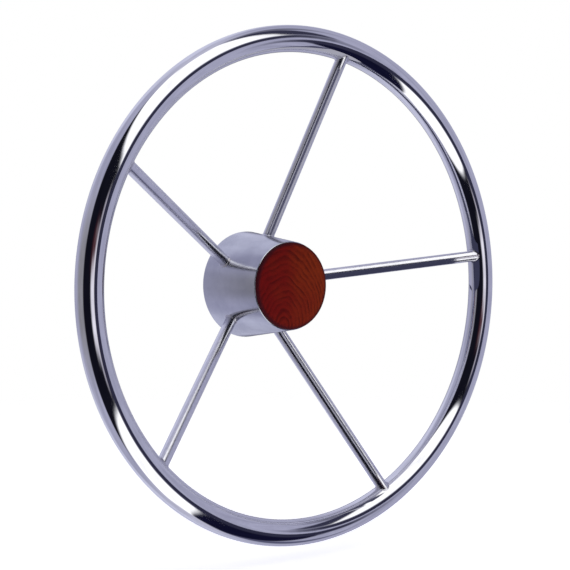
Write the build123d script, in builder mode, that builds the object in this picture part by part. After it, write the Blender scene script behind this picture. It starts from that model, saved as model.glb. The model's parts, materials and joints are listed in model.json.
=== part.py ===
"""A five-spoke stainless steel ship's steering wheel with a wooden centre cap, for a tapered helm shaft.

Frame: Y is the shaft's axis, the helmsman stands on the -Y side and Z is up. The origin is the centre of the
boss's rear face, where the shaft's taper starts, so whatever lies ahead of it has a negative Y. Millimetres
throughout. Welded members are cut to each other's surfaces, and each weld is a collar round the joint that lies
within its leg of both members.
"""

import os
from math import asin, cos, radians, sin, sqrt

from build123d import *

# ---- Driving dimensions ------------------------------------------------------------------------------------

WHEEL_DIAMETER = 394.0  # over the rim: the 15 1/2 inch size
RIM_TUBE_DIAMETER = 20.0
RIM_TUBE_WALL = 1.5
RIM_AHEAD = 78.5  # the rim's centre plane, ahead of the hub's rear face
RIM_SEAM_ANGLE = 1.0  # the butt weld that closes the ring, as a part of its turn
RIM_SEAM_TURN = 182.8  # where that weld is, clockwise from the first spoke
RIM_SEAM_ROOT = 0.6  # how far the weld stands into the tube

SPOKE_COUNT = 5
SPOKE_DIAMETER = 9.0
SPOKE_TURN = 10.8  # the first spoke's angle, clockwise from the top as the helmsman sees it
DISH_ANGLE = 23.5  # a spoke's slope away from the rim's plane
SPOKE_FORWARD = 0.8  # a spoke meets the rim this far ahead of the tube's innermost line
SPOKE_OVERRUN = 9.0  # the bar runs this far past both ends before it is cut to the surfaces it meets
WELD_LEG = 1.2  # of the ground bead where a spoke meets the rim or the shell
BOSS_WELD_LEG = 0.8
WELD_OVERRUN = 5.6  # how far a bead follows the spoke past the tube's surface

SHELL_REAR_DIAMETER = 85.2
SHELL_FRONT_DIAMETER = 68.8
SHELL_LENGTH = 58.5
SHELL_WALL = 2.2
SHELL_REAR_EDGE = 1.6  # edge radii
SHELL_FRONT_EDGE = 0.7
MOUTH_DIAMETER = 64.0  # the straight land that the cap plugs into
MOUTH_DEPTH = 13.0

BOSS_DIAMETER = 38.0
BOSS_LENGTH = 28.0
BOSS_CHAMFER = 1.0
TAPER_LARGE_DIAMETER = 19.05  # 3/4 inch at the rear face
TAPER_RATIO = 12.0  # one in twelve on the diameter
KEYWAY_WIDTH = 4.76
KEYWAY_TOP = 11.9  # the keyway's floor, from the axis
REAR_PLATE_INSET = 1.0
REAR_PLATE_THICKNESS = 2.5
REAR_WELD_LEG = 0.9

WASHER_DIAMETER = 28.0
WASHER_HOLE = 13.5
WASHER_THICKNESS = 2.4
WASHER_GAP = 0.05  # play between the washer and the faces beside it
NUT_ACROSS_FLATS = 19.05
NUT_HEIGHT = 9.6
NUT_EDGE_DROP = 1.2  # how far the chamfer comes down at a corner
NUT_BORE = 11.33  # minor diameter of a 1/2-20 thread
NUT_COLLAR_DIAMETER = 17.0
NUT_COLLAR_HEIGHT = 3.1
NUT_COLLAR_LIP = 0.5
NUT_COLLAR_LIP_BORE = 13.4
INSERT_DIAMETER = 14.6
INSERT_BORE = 12.3

CAP_DIAMETER = 67.4
CAP_EDGE_AHEAD = 61.0  # the front edge of the wood, ahead of the hub's rear face
CAP_CROWN = 1.5  # how far the middle of the wood stands ahead of its edge
CAP_EDGE_RADIUS = 1.3
CAP_SEAT_GAP = 0.3  # between the wood and the hub's lip
CAP_SPIGOT_CLEARANCE = 0.7
PLUG_CLEARANCE = 0.35
PLUG_FLOOR_AHEAD = 52.0
PLUG_FLOOR_THICKNESS = 2.0
PLUG_SKIRT_AHEAD = 46.5
PLUG_SKIRT_WALL = 4.2
O_RING_SECTION = 2.5
O_RING_CLEARANCE = 0.15
O_RING_GROOVE_WIDTH = 2.8
CAP_SCREW_COUNT = 3
CAP_SCREW_CIRCLE = 40.0
CAP_SCREW_DIAMETER = 3.0
CAP_SCREW_LENGTH = 6.0
CAP_SCREW_HEAD_DIAMETER = 6.0
CAP_SCREW_HEAD_HEIGHT = 1.8
CAP_SCREW_SLOT_WIDTH = 0.9
CAP_SCREW_SLOT_DEPTH = 0.8

# ---- Sizes worked out from them ----------------------------------------------------------------------------

RIM_TUBE_RADIUS = RIM_TUBE_DIAMETER / 2
RIM_RADIUS = WHEEL_DIAMETER / 2 - RIM_TUBE_RADIUS  # to the tube's centre line
SPOKE_RADIUS = SPOKE_DIAMETER / 2
BOSS_RADIUS = BOSS_DIAMETER / 2
MOUTH_RADIUS = MOUTH_DIAMETER / 2
SHELL_SLOPE = (SHELL_REAR_DIAMETER - SHELL_FRONT_DIAMETER) / 2 / SHELL_LENGTH
TAPER_SMALL_DIAMETER = TAPER_LARGE_DIAMETER - BOSS_LENGTH / TAPER_RATIO
REAR_PLATE_FRONT = REAR_PLATE_INSET + REAR_PLATE_THICKNESS

# The upright spoke's axis leaves the boss at one point and meets the rim tube's surface at another.
SPOKE_TIP_Y = -RIM_AHEAD - SPOKE_FORWARD
SPOKE_TIP_Z = RIM_RADIUS - RIM_TUBE_RADIUS * cos(asin(SPOKE_FORWARD / RIM_TUBE_RADIUS))
SPOKE_RUN = (SPOKE_TIP_Z - BOSS_RADIUS) / cos(radians(DISH_ANGLE))
SPOKE_ROOT_Y = SPOKE_TIP_Y + SPOKE_RUN * sin(radians(DISH_ANGLE))

WASHER_BACK = BOSS_LENGTH + WASHER_GAP
WASHER_FRONT = WASHER_BACK + WASHER_THICKNESS
NUT_BACK = WASHER_FRONT + WASHER_GAP
COLLAR_BACK = NUT_BACK + NUT_HEIGHT
NUT_FRONT = COLLAR_BACK + NUT_COLLAR_HEIGHT
LIP_BACK = NUT_FRONT - NUT_COLLAR_LIP
NUT_CORNER_RADIUS = NUT_ACROSS_FLATS / sqrt(3)

PLUG_RADIUS = MOUTH_RADIUS - PLUG_CLEARANCE
PLUG_FRONT = PLUG_FLOOR_AHEAD + PLUG_FLOOR_THICKNESS
CAP_RADIUS = CAP_DIAMETER / 2
CAP_BACK = SHELL_LENGTH + CAP_SEAT_GAP
CAP_SPIGOT_RADIUS = MOUTH_RADIUS - CAP_SPIGOT_CLEARANCE
O_RING_RADIUS = MOUTH_RADIUS - O_RING_CLEARANCE - O_RING_SECTION / 2  # to the section's centre
O_RING_AHEAD = (PLUG_SKIRT_AHEAD + PLUG_FLOOR_AHEAD) / 2
CAP_SCREW_RADIUS = CAP_SCREW_DIAMETER / 2
CAP_SCREW_HEAD_BACK = PLUG_FLOOR_AHEAD - CAP_SCREW_HEAD_HEIGHT

FRONTWARD = Plane.XZ  # its normal is -Y, towards the helmsman


def shell_radius(ahead, inset=0.0):
    """The hub shell's conical radius at a distance ahead of its rear face, less an inset."""
    return SHELL_REAR_DIAMETER / 2 - SHELL_SLOPE * ahead - inset


def turned(part, index):
    """A copy of a piece made for the upright spoke, turned to the place of the spoke with that index."""
    return part.rotate(Axis.Y, SPOKE_TURN + index * 360 / SPOKE_COUNT)


def save(part, name):
    """Labels one finished piece and writes it as its own STEP file."""
    part.label = name
    export_step(part, f"parts/{name}.step")


def solid_rim(growth):
    """The rim's outer shape as a solid ring, grown all over."""
    with BuildPart() as ring:
        with BuildSketch(Plane.YZ):
            with Locations((-RIM_AHEAD, RIM_RADIUS)):
                Circle(RIM_TUBE_RADIUS + growth)
        revolve(axis=Axis.Y)
    return ring.part


def solid_shell(growth):
    """The hub shell's outer cone as a solid, grown all over."""
    with BuildPart() as cone:
        with BuildSketch(Plane.YZ):
            with BuildLine():
                Polyline(
                    (0, 0),
                    (0, shell_radius(0) + growth),
                    (-SHELL_LENGTH, shell_radius(SHELL_LENGTH) + growth),
                    (-SHELL_LENGTH, 0),
                    close=True,
                )
            make_face()
        revolve(axis=Axis.Y)
    return cone.part


def solid_boss(growth):
    """The boss's outer cylinder as a solid, with its radius grown."""
    with BuildPart() as cylinder:
        with BuildSketch(FRONTWARD):
            Circle(BOSS_RADIUS + growth)
        extrude(amount=BOSS_LENGTH)
    return cylinder.part


os.makedirs("parts", exist_ok=True)

# ---- Rim: one bent tube, closed by a butt weld that is ground flush outside --------------------------------

with BuildPart() as straight_tube:  # its seam starts in the plane above the axis
    with BuildSketch(Plane.YZ):
        with Locations((-RIM_AHEAD, RIM_RADIUS)):
            Circle(RIM_TUBE_RADIUS)
            Circle(RIM_TUBE_RADIUS - RIM_TUBE_WALL, mode=Mode.SUBTRACT)
    revolve(axis=Axis.Y, revolution_arc=360 - RIM_SEAM_ANGLE)
rim_tube = straight_tube.part.rotate(Axis.Y, SPOKE_TURN + RIM_SEAM_TURN)
save(rim_tube, "rim_tube")

with BuildPart() as seam_at_top:
    with BuildSketch(Plane.YZ):
        with Locations((-RIM_AHEAD, RIM_RADIUS)):
            Circle(RIM_TUBE_RADIUS)
            Circle(RIM_TUBE_RADIUS - RIM_TUBE_WALL - RIM_SEAM_ROOT, mode=Mode.SUBTRACT)
    revolve(axis=Axis.Y, revolution_arc=-RIM_SEAM_ANGLE)
save(seam_at_top.part.rotate(Axis.Y, SPOKE_TURN + RIM_SEAM_TURN), "rim_seam_weld")

# ---- Spokes ------------------------------------------------------------------------------------------------

spoke_direction = Vector(0, -sin(radians(DISH_ANGLE)), cos(radians(DISH_ANGLE)))
spoke_start = Vector(0, SPOKE_ROOT_Y, BOSS_RADIUS) - spoke_direction * SPOKE_OVERRUN

spoke_plane = Plane(spoke_start, x_dir=(1, 0, 0), z_dir=spoke_direction)

with BuildPart() as spoke_bar:  # the upright spoke before its ends are cut
    with BuildSketch(spoke_plane):
        Circle(SPOKE_RADIUS)
    extrude(amount=SPOKE_RUN + 2 * SPOKE_OVERRUN)

with BuildPart() as cut_bar:
    add(spoke_bar.part)
    add(solid_boss(0), mode=Mode.SUBTRACT)
    add(solid_rim(0), mode=Mode.SUBTRACT)

with BuildPart() as upright_spoke:  # the longest of the pieces, without the two offcuts
    add(cut_bar.part.solids().sort_by(SortBy.VOLUME)[-1])

for index in range(SPOKE_COUNT):
    save(turned(upright_spoke.part, index), f"spoke_{index + 1}")

# ---- Hub shell: a turned cone with a straight land in its mouth --------------------------------------------

shoulder_ahead = SHELL_LENGTH - MOUTH_DEPTH
cone_ahead = shoulder_ahead - (shell_radius(shoulder_ahead, SHELL_WALL) - MOUTH_RADIUS)

with BuildPart() as hub_shell:
    with BuildSketch(Plane.YZ):
        with BuildLine():
            Polyline(
                (0, shell_radius(0, SHELL_WALL)),
                (0, shell_radius(0)),
                (-SHELL_LENGTH, shell_radius(SHELL_LENGTH)),
                (-SHELL_LENGTH, MOUTH_RADIUS),
                (-shoulder_ahead, MOUTH_RADIUS),
                (-cone_ahead, shell_radius(cone_ahead, SHELL_WALL)),
                close=True,
            )
        section = make_face()
        fillet(section.vertices().group_by(Axis.X)[0], SHELL_FRONT_EDGE)
    revolve(axis=Axis.Y)
    rear_rim = hub_shell.edges().filter_by(GeomType.CIRCLE).sort_by(Axis.Y)[-2:].sort_by(SortBy.RADIUS)[-1]
    fillet(rear_rim, SHELL_REAR_EDGE)
    for index in range(SPOKE_COUNT):
        add(turned(spoke_bar.part, index), mode=Mode.SUBTRACT)
save(hub_shell.part, "hub_shell")

# ---- Boss: the keyed taper that grips the helm shaft -------------------------------------------------------

with BuildPart() as hub_boss:
    with BuildSketch(FRONTWARD):
        Circle(BOSS_RADIUS)
    extrude(amount=BOSS_LENGTH)
    chamfer(hub_boss.edges().filter_by(GeomType.CIRCLE).sort_by(Axis.Y)[0], BOSS_CHAMFER)
    with BuildSketch(Plane.YZ):
        with BuildLine():
            Polyline(
                (0, 0),
                (0, TAPER_LARGE_DIAMETER / 2),
                (-BOSS_LENGTH, TAPER_SMALL_DIAMETER / 2),
                (-BOSS_LENGTH, 0),
                close=True,
            )
        make_face()
    revolve(axis=Axis.Y, mode=Mode.SUBTRACT)
    with BuildSketch(FRONTWARD):
        Rectangle(KEYWAY_WIDTH, KEYWAY_TOP, align=(Align.CENTER, Align.MIN))
    extrude(amount=BOSS_LENGTH, mode=Mode.SUBTRACT)
save(turned(hub_boss.part, 0), "hub_boss")

# ---- Rear plate: closes the back of the shell round the boss -----------------------------------------------

with BuildPart() as rear_plate:
    with BuildSketch(Plane.YZ):
        with BuildLine():
            Polyline(
                (-REAR_PLATE_INSET, BOSS_RADIUS),
                (-REAR_PLATE_INSET, shell_radius(REAR_PLATE_INSET, SHELL_WALL)),
                (-REAR_PLATE_FRONT, shell_radius(REAR_PLATE_FRONT, SHELL_WALL)),
                (-REAR_PLATE_FRONT, BOSS_RADIUS),
                close=True,
            )
        make_face()
    revolve(axis=Axis.Y)
save(rear_plate.part, "rear_plate")

weld_back = REAR_PLATE_INSET - REAR_WELD_LEG
weld_outside = shell_radius(REAR_PLATE_INSET, SHELL_WALL)
with BuildPart() as rear_plate_welds:  # one ring inside the shell and one round the boss
    with BuildSketch(Plane.YZ):
        with BuildLine():
            Polyline(
                (-REAR_PLATE_INSET, weld_outside - REAR_WELD_LEG),
                (-REAR_PLATE_INSET, weld_outside),
                (-weld_back, shell_radius(weld_back, SHELL_WALL)),
                close=True,
            )
        make_face()
        with BuildLine():
            Polyline(
                (-REAR_PLATE_INSET, BOSS_RADIUS),
                (-REAR_PLATE_INSET, BOSS_RADIUS + REAR_WELD_LEG),
                (-weld_back, BOSS_RADIUS),
                close=True,
            )
        make_face()
    revolve(axis=Axis.Y)
save(rear_plate_welds.part, "rear_plate_welds")

# ---- Spoke welds: collars within a leg of both the spoke and the member that it meets ----------------------


def save_weld_beads(solid_member, leg, name):
    """Writes the beads that join all the spokes to one member."""
    with BuildPart() as upright_bead:
        with BuildSketch(spoke_plane):
            Circle(SPOKE_RADIUS + leg)
        extrude(amount=SPOKE_OVERRUN + SPOKE_RUN + WELD_OVERRUN)
        add(solid_member(leg), mode=Mode.INTERSECT)
        add(solid_member(0), mode=Mode.SUBTRACT)
        add(spoke_bar.part, mode=Mode.SUBTRACT)
    with BuildPart() as beads:
        for index in range(SPOKE_COUNT):
            add(turned(upright_bead.part, index))
    save(beads.part, name)


save_weld_beads(solid_rim, WELD_LEG, "rim_weld_beads")
save_weld_beads(solid_shell, WELD_LEG, "shell_weld_beads")
save_weld_beads(solid_boss, BOSS_WELD_LEG, "boss_weld_beads")

# ---- Washer and lock nut: they pull the boss onto the taper ------------------------------------------------

with BuildPart() as flat_washer:
    with BuildSketch(FRONTWARD.offset(WASHER_BACK)):
        Circle(WASHER_DIAMETER / 2)
        Circle(WASHER_HOLE / 2, mode=Mode.SUBTRACT)
    extrude(amount=WASHER_THICKNESS)
save(flat_washer.part, "flat_washer")

with BuildPart() as shaft_nut:
    with BuildSketch(FRONTWARD.offset(NUT_BACK)):
        RegularPolygon(NUT_CORNER_RADIUS, 6)
    extrude(amount=NUT_HEIGHT)
    with BuildSketch(Plane.YZ):  # a turned outline that takes the corners off the hexagon's rear face
        with BuildLine():
            Polyline(
                (-NUT_BACK, 0),
                (-NUT_BACK, NUT_ACROSS_FLATS / 2),
                (-NUT_BACK - NUT_EDGE_DROP / 2, NUT_CORNER_RADIUS),
                (NUT_EDGE_DROP / 2 - COLLAR_BACK, NUT_CORNER_RADIUS),
                (-COLLAR_BACK, NUT_ACROSS_FLATS / 2),
                (-COLLAR_BACK, 0),
                close=True,
            )
        make_face()
    revolve(axis=Axis.Y, mode=Mode.INTERSECT)
    with BuildSketch(FRONTWARD.offset(COLLAR_BACK)):
        Circle(NUT_COLLAR_DIAMETER / 2)
    extrude(amount=NUT_COLLAR_HEIGHT)
    with BuildSketch(FRONTWARD.offset(NUT_BACK)):
        Circle(NUT_BORE / 2)
    extrude(amount=NUT_HEIGHT, mode=Mode.SUBTRACT)
    with BuildSketch(FRONTWARD.offset(COLLAR_BACK)):
        Circle(INSERT_DIAMETER / 2)
    extrude(amount=NUT_COLLAR_HEIGHT - NUT_COLLAR_LIP, mode=Mode.SUBTRACT)
    with BuildSketch(FRONTWARD.offset(LIP_BACK)):
        Circle(NUT_COLLAR_LIP_BORE / 2)
    extrude(amount=NUT_COLLAR_LIP, mode=Mode.SUBTRACT)
save(shaft_nut.part, "shaft_nut")

with BuildPart() as nut_insert:  # the nylon ring that locks the thread
    with BuildSketch(FRONTWARD.offset(COLLAR_BACK)):
        Circle(INSERT_DIAMETER / 2)
        Circle(INSERT_BORE / 2, mode=Mode.SUBTRACT)
    extrude(amount=NUT_COLLAR_HEIGHT - NUT_COLLAR_LIP)
save(nut_insert.part, "nut_insert")

# ---- Centre cap: a crowned wooden disc screwed to a plug that an O-ring holds in the mouth ------------------

with BuildPart() as screw_bodies:  # the heads behind the plug's floor and the shanks through it
    with BuildSketch(FRONTWARD.offset(CAP_SCREW_HEAD_BACK)):
        with PolarLocations(CAP_SCREW_CIRCLE / 2, CAP_SCREW_COUNT):
            Circle(CAP_SCREW_HEAD_DIAMETER / 2)
    extrude(amount=CAP_SCREW_HEAD_HEIGHT)
    with BuildSketch(FRONTWARD.offset(PLUG_FLOOR_AHEAD)):
        with PolarLocations(CAP_SCREW_CIRCLE / 2, CAP_SCREW_COUNT):
            Circle(CAP_SCREW_RADIUS)
    extrude(amount=CAP_SCREW_LENGTH)

with BuildPart() as cap_screws:
    add(screw_bodies.part)
    chamfer(cap_screws.edges().filter_by(GeomType.CIRCLE).group_by(Axis.Y)[-1], CAP_SCREW_SLOT_DEPTH / 2)
    with BuildSketch(FRONTWARD.offset(CAP_SCREW_HEAD_BACK)):
        with PolarLocations(CAP_SCREW_CIRCLE / 2, CAP_SCREW_COUNT):
            Rectangle(CAP_SCREW_SLOT_WIDTH, CAP_SCREW_HEAD_DIAMETER)
    extrude(amount=CAP_SCREW_SLOT_DEPTH, mode=Mode.SUBTRACT)
save(cap_screws.part, "cap_screws")

with BuildPart() as wood_cap:
    with BuildSketch(Plane.YZ):
        with BuildLine():
            crown = TangentArc((-CAP_EDGE_AHEAD - CAP_CROWN, 0), (-CAP_EDGE_AHEAD, CAP_RADIUS), tangent=(0, 1))
            Polyline(
                crown @ 1,
                (-CAP_BACK, CAP_RADIUS),
                (-CAP_BACK, CAP_SPIGOT_RADIUS),
                (-PLUG_FRONT, CAP_SPIGOT_RADIUS),
                (-PLUG_FRONT, 0),
                crown @ 0,
            )
        section = make_face()
        fillet(section.vertices().group_by(Axis.Y)[-1].sort_by(Axis.X)[0], CAP_EDGE_RADIUS)
    revolve(axis=Axis.Y)
    add(screw_bodies.part, mode=Mode.SUBTRACT)
save(wood_cap.part, "wood_cap")

with BuildPart() as cap_plug:
    with BuildSketch(FRONTWARD.offset(PLUG_SKIRT_AHEAD)):
        Circle(PLUG_RADIUS)
        Circle(PLUG_RADIUS - PLUG_SKIRT_WALL, mode=Mode.SUBTRACT)
    extrude(amount=PLUG_FLOOR_AHEAD - PLUG_SKIRT_AHEAD)
    with BuildSketch(FRONTWARD.offset(PLUG_FLOOR_AHEAD)):
        Circle(PLUG_RADIUS)
    extrude(amount=PLUG_FLOOR_THICKNESS)
    with BuildSketch(FRONTWARD.offset(O_RING_AHEAD - O_RING_GROOVE_WIDTH / 2)):
        Circle(PLUG_RADIUS)
        Circle(O_RING_RADIUS - O_RING_SECTION / 2, mode=Mode.SUBTRACT)
    extrude(amount=O_RING_GROOVE_WIDTH, mode=Mode.SUBTRACT)
    add(screw_bodies.part, mode=Mode.SUBTRACT)
save(cap_plug.part, "cap_plug")

with BuildPart() as cap_o_ring:
    with BuildSketch(Plane.YZ):
        with Locations((-O_RING_AHEAD, O_RING_RADIUS)):
            Circle(O_RING_SECTION / 2)
    revolve(axis=Axis.Y)
save(cap_o_ring.part, "cap_o_ring")
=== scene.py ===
"""Finish of a small boat's steering wheel: polished rim and spokes, a spun hub and a red hardwood cap.

The wheel's axis is Y, the helmsman stands on the -Y side and Z is up. Distances "ahead" are measured from the
hub's rear face towards the helmsman, so a point's Y is minus its distance ahead. Lengths are metres, except that
turned outlines and the sizes of the hub, the cap and the nut are millimetres, as on a turner's drawing.
"""

from __future__ import annotations

import functools
import json
import logging
import math
from dataclasses import dataclass
from enum import Enum
from typing import Callable, Sequence

import bmesh
import bpy
from mathutils import Matrix, Vector

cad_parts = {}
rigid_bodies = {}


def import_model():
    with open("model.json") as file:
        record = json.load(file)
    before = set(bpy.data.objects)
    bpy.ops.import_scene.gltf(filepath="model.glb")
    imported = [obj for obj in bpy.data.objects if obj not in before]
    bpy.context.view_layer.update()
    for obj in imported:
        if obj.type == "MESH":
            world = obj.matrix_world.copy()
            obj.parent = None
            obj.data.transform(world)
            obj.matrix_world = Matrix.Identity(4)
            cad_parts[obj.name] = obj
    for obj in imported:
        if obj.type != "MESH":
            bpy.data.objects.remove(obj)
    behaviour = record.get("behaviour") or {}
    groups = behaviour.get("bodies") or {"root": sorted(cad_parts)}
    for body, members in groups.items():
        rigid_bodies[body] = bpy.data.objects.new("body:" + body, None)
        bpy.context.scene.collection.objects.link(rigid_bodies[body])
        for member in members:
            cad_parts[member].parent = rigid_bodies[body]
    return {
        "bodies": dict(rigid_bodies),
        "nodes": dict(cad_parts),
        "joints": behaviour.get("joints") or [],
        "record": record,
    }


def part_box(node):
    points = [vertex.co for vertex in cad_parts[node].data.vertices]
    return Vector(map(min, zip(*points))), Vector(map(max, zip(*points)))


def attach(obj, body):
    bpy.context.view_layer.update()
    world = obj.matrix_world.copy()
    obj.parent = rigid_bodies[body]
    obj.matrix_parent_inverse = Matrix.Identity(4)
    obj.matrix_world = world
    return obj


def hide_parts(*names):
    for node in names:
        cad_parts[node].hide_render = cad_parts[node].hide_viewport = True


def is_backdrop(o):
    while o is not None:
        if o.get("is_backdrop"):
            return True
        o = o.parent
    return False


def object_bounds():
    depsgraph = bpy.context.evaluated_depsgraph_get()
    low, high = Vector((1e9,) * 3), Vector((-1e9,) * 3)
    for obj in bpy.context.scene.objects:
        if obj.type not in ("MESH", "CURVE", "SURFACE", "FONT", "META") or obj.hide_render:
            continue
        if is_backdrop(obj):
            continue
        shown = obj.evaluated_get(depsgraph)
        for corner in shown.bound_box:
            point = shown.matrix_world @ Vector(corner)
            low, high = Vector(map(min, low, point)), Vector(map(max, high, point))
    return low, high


LOG = logging.getLogger("helm_wheel")
MM = 0.001
EDGE_SHARE = 0.49  # the most of an edge that the rounding of one corner takes
MERGE_GAP = 1e-8  # points nearer to each other than this are one
Colour = tuple[float, float, float]
Span = tuple[float, float]
Outline = list[tuple[float, float]]
Sources = dict[str | int, object]
Socket = bpy.types.NodeSocket


class Body(Enum):
    """The bodies that pieces ride on."""

    WHEEL = "wheel"
    CAP = "cap"
    WASHER = "washer"
    NUT = "nut"


# ---- Node sheets ---------------------------------------------------------------------------------------------


class NodeSheet:
    """A node tree with short calls for the nodes that the finishes, the shapes and the studio share."""

    def __init__(self, tree: bpy.types.NodeTree) -> None:
        """Takes over a tree.

        Args:
            tree: The tree to add nodes to.
        """
        self.tree = tree

    def wire(self, source: object, target: Socket) -> None:
        """Links a socket to an input, or sets the input where the source is a plain value.

        Args:
            source: An output socket, or a number, vector or colour.
            target: The input socket.
        """
        if isinstance(source, Socket):
            self.tree.links.new(source, target)
        else:
            target.default_value = source

    def add(self, kind: str, inputs: Sources | None = None, **settings: object) -> bpy.types.Node:
        """Adds a node with its properties set and its inputs linked or set.

        Args:
            kind: The node's type name.
            inputs: A source for each input, by the input's name or place.
            settings: The node's properties.

        Returns:
            The new node.
        """
        node = self.tree.nodes.new(kind)
        for key, value in settings.items():
            setattr(node, key, value)
        for key, source in (inputs or {}).items():
            self.wire(source, node.inputs[key])
        return node

    def math(self, operation: str, *values: object) -> Socket:
        """The result of a Math node on sockets or numbers."""
        return self.add("ShaderNodeMath", dict(enumerate(values)), operation=operation).outputs[0]

    def times(self, first: object, *others: object) -> Socket:
        """The product of two or more values.

        Args:
            first: A socket or a number.
            others: More of them.

        Returns:
            The product's socket.
        """
        for value in others:
            first = self.math("MULTIPLY", first, value)
        return first

    def length(self, x: object, y: object) -> Socket:
        """The length of a vector that has two parts at right angles."""
        return self.math("SQRT", self.math("ADD", self.times(x, x), self.times(y, y)))

    def ease(self, value: object, low: float, high: float) -> Socket:
        """A smooth step of a value from 0 at low to 1 at high."""
        inputs = {"Value": value, "From Min": low, "From Max": high}
        return self.add("ShaderNodeMapRange", inputs, interpolation_type="SMOOTHSTEP").outputs["Result"]

    def band(self, value: object, rise: Span, fall: Span) -> Socket:
        """1 between the span where a value fades in and the span where it fades out, and 0 outside them."""
        return self.times(self.ease(value, *rise), self.ease(value, *fall))

    def scale(self, value: object, low: float, high: float, start: float = 0.0, end: float = 1.0) -> Socket:
        """A value remapped in a straight line, and held at its ends.

        Args:
            value: The socket that is remapped.
            low: The result at start.
            high: The result at end.
            start: The value that gives low.
            end: The value that gives high.

        Returns:
            The remapped value's socket.
        """
        inputs = {"Value": value, "From Min": start, "From Max": end, "To Min": low, "To Max": high}
        return self.add("ShaderNodeMapRange", inputs).outputs["Result"]

    def mix(self, factor: object, first: object, second: object, blend: str = "MIX") -> Socket:
        """A blend of two colours.

        Args:
            factor: How much of the second colour there is.
            first: A colour socket or an RGB triple.
            second: A colour socket or an RGB triple.
            blend: The blend type.

        Returns:
            The mixed colour's socket.
        """
        one, two = (colour if isinstance(colour, Socket) else (*colour, 1.0) for colour in (first, second))
        node = self.add("ShaderNodeMix", data_type="RGBA", blend_type=blend)
        for source, place in ((factor, 0), (one, 6), (two, 7)):
            self.wire(source, node.inputs[place])
        return node.outputs[2]

    def noise(self, vector: Socket, scale: float, detail: float = 2.0, rough: float = 0.5) -> Socket:
        """The value of a noise texture.

        Args:
            vector: Where it is read.
            scale: Its scale.
            detail: Its octaves.
            rough: How strong the fine octaves are.

        Returns:
            The noise's socket, from 0 to 1.
        """
        inputs = {"Vector": vector, "Scale": scale, "Detail": detail, "Roughness": rough}
        return self.add("ShaderNodeTexNoise", inputs).outputs["Fac"]

    def stretched(self, vector: Socket, x: float, y: float, z: float) -> Socket:
        """A vector scaled along each axis."""
        return self.add("ShaderNodeMapping", {"Vector": vector, "Scale": (x, y, z)}).outputs["Vector"]

    def split(self, vector: Socket) -> tuple[Socket, ...]:
        """The X, Y and Z sockets of a vector."""
        return tuple(self.add("ShaderNodeSeparateXYZ", {0: vector}).outputs)

    def joined(self, x: object, y: object, z: object) -> Socket:
        """A vector made of three values."""
        return self.add("ShaderNodeCombineXYZ", {0: x, 1: y, 2: z}).outputs[0]


class SurfaceSheet(NodeSheet):
    """The node sheet of one material, with its Principled shader."""

    def __init__(self, name: str) -> None:
        """Makes the material.

        Args:
            name: The material's name.
        """
        self.material = bpy.data.materials.new(name)
        self.material.use_nodes = True
        super().__init__(self.material.node_tree)
        self.shader = self.tree.nodes["Principled BSDF"]

    def place(self) -> Socket:
        """The object coordinates, which are the wheel's own frame."""
        return self.add("ShaderNodeTexCoord").outputs["Object"]

    def set(self, **values: object) -> None:
        """Sets or links the shader's inputs, named with underscores for spaces."""
        for key, value in values.items():
            self.wire(value, self.shader.inputs[key.replace("_", " ")])

    def emboss(self, height: object, depth: float, strength: float = 1.0) -> None:
        """Bumps the surface by a height, on top of any bump that it has.

        Args:
            height: The height's socket, from 0 to 1.
            depth: The depth of a height of 1.
            strength: How much of the bump is used.
        """
        node = self.add("ShaderNodeBump", {"Height": height, "Distance": depth, "Strength": strength})
        normal = self.shader.inputs["Normal"]
        if normal.is_linked:
            self.wire(normal.links[0].from_socket, node.inputs["Normal"])
        self.wire(node.outputs["Normal"], normal)


# ---- Finishes ------------------------------------------------------------------------------------------------


@dataclass(frozen=True)
class MirrorSteel:
    """Stainless steel buffed bright, with the faint haze, waviness and scratches that hand polishing leaves."""

    name: str = "mirror_polished_steel"
    bright: Colour = (0.86, 0.86, 0.885)
    dull: Colour = (0.79, 0.79, 0.825)
    roughness: Span = (0.035, 0.085)
    wave_depth: float = 0.35 * MM
    scratch_depth: float = 0.004 * MM

    def material(self) -> bpy.types.Material:
        """Builds the material.

        Returns:
            The material.
        """
        sheet = SurfaceSheet(self.name)
        place = sheet.place()
        haze = sheet.noise(place, 26.0, 4.0, 0.6)
        smears = sheet.noise(sheet.stretched(place, 1.0, 3.0, 1.0), 90.0, 5.0, 0.65)
        cloud = sheet.times(haze, smears)
        sheet.set(
            Base_Color=sheet.mix(sheet.ease(cloud, 0.12, 0.42), self.bright, self.dull),
            Roughness=sheet.scale(cloud, *self.roughness, 0.15, 0.45),
            Metallic=1.0,
        )
        sheet.emboss(sheet.noise(place, 34.0, 2.0, 0.4), self.wave_depth, 0.25)
        sheet.emboss(sheet.noise(place, 700.0), self.scratch_depth, 0.3)
        return sheet.material


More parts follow.
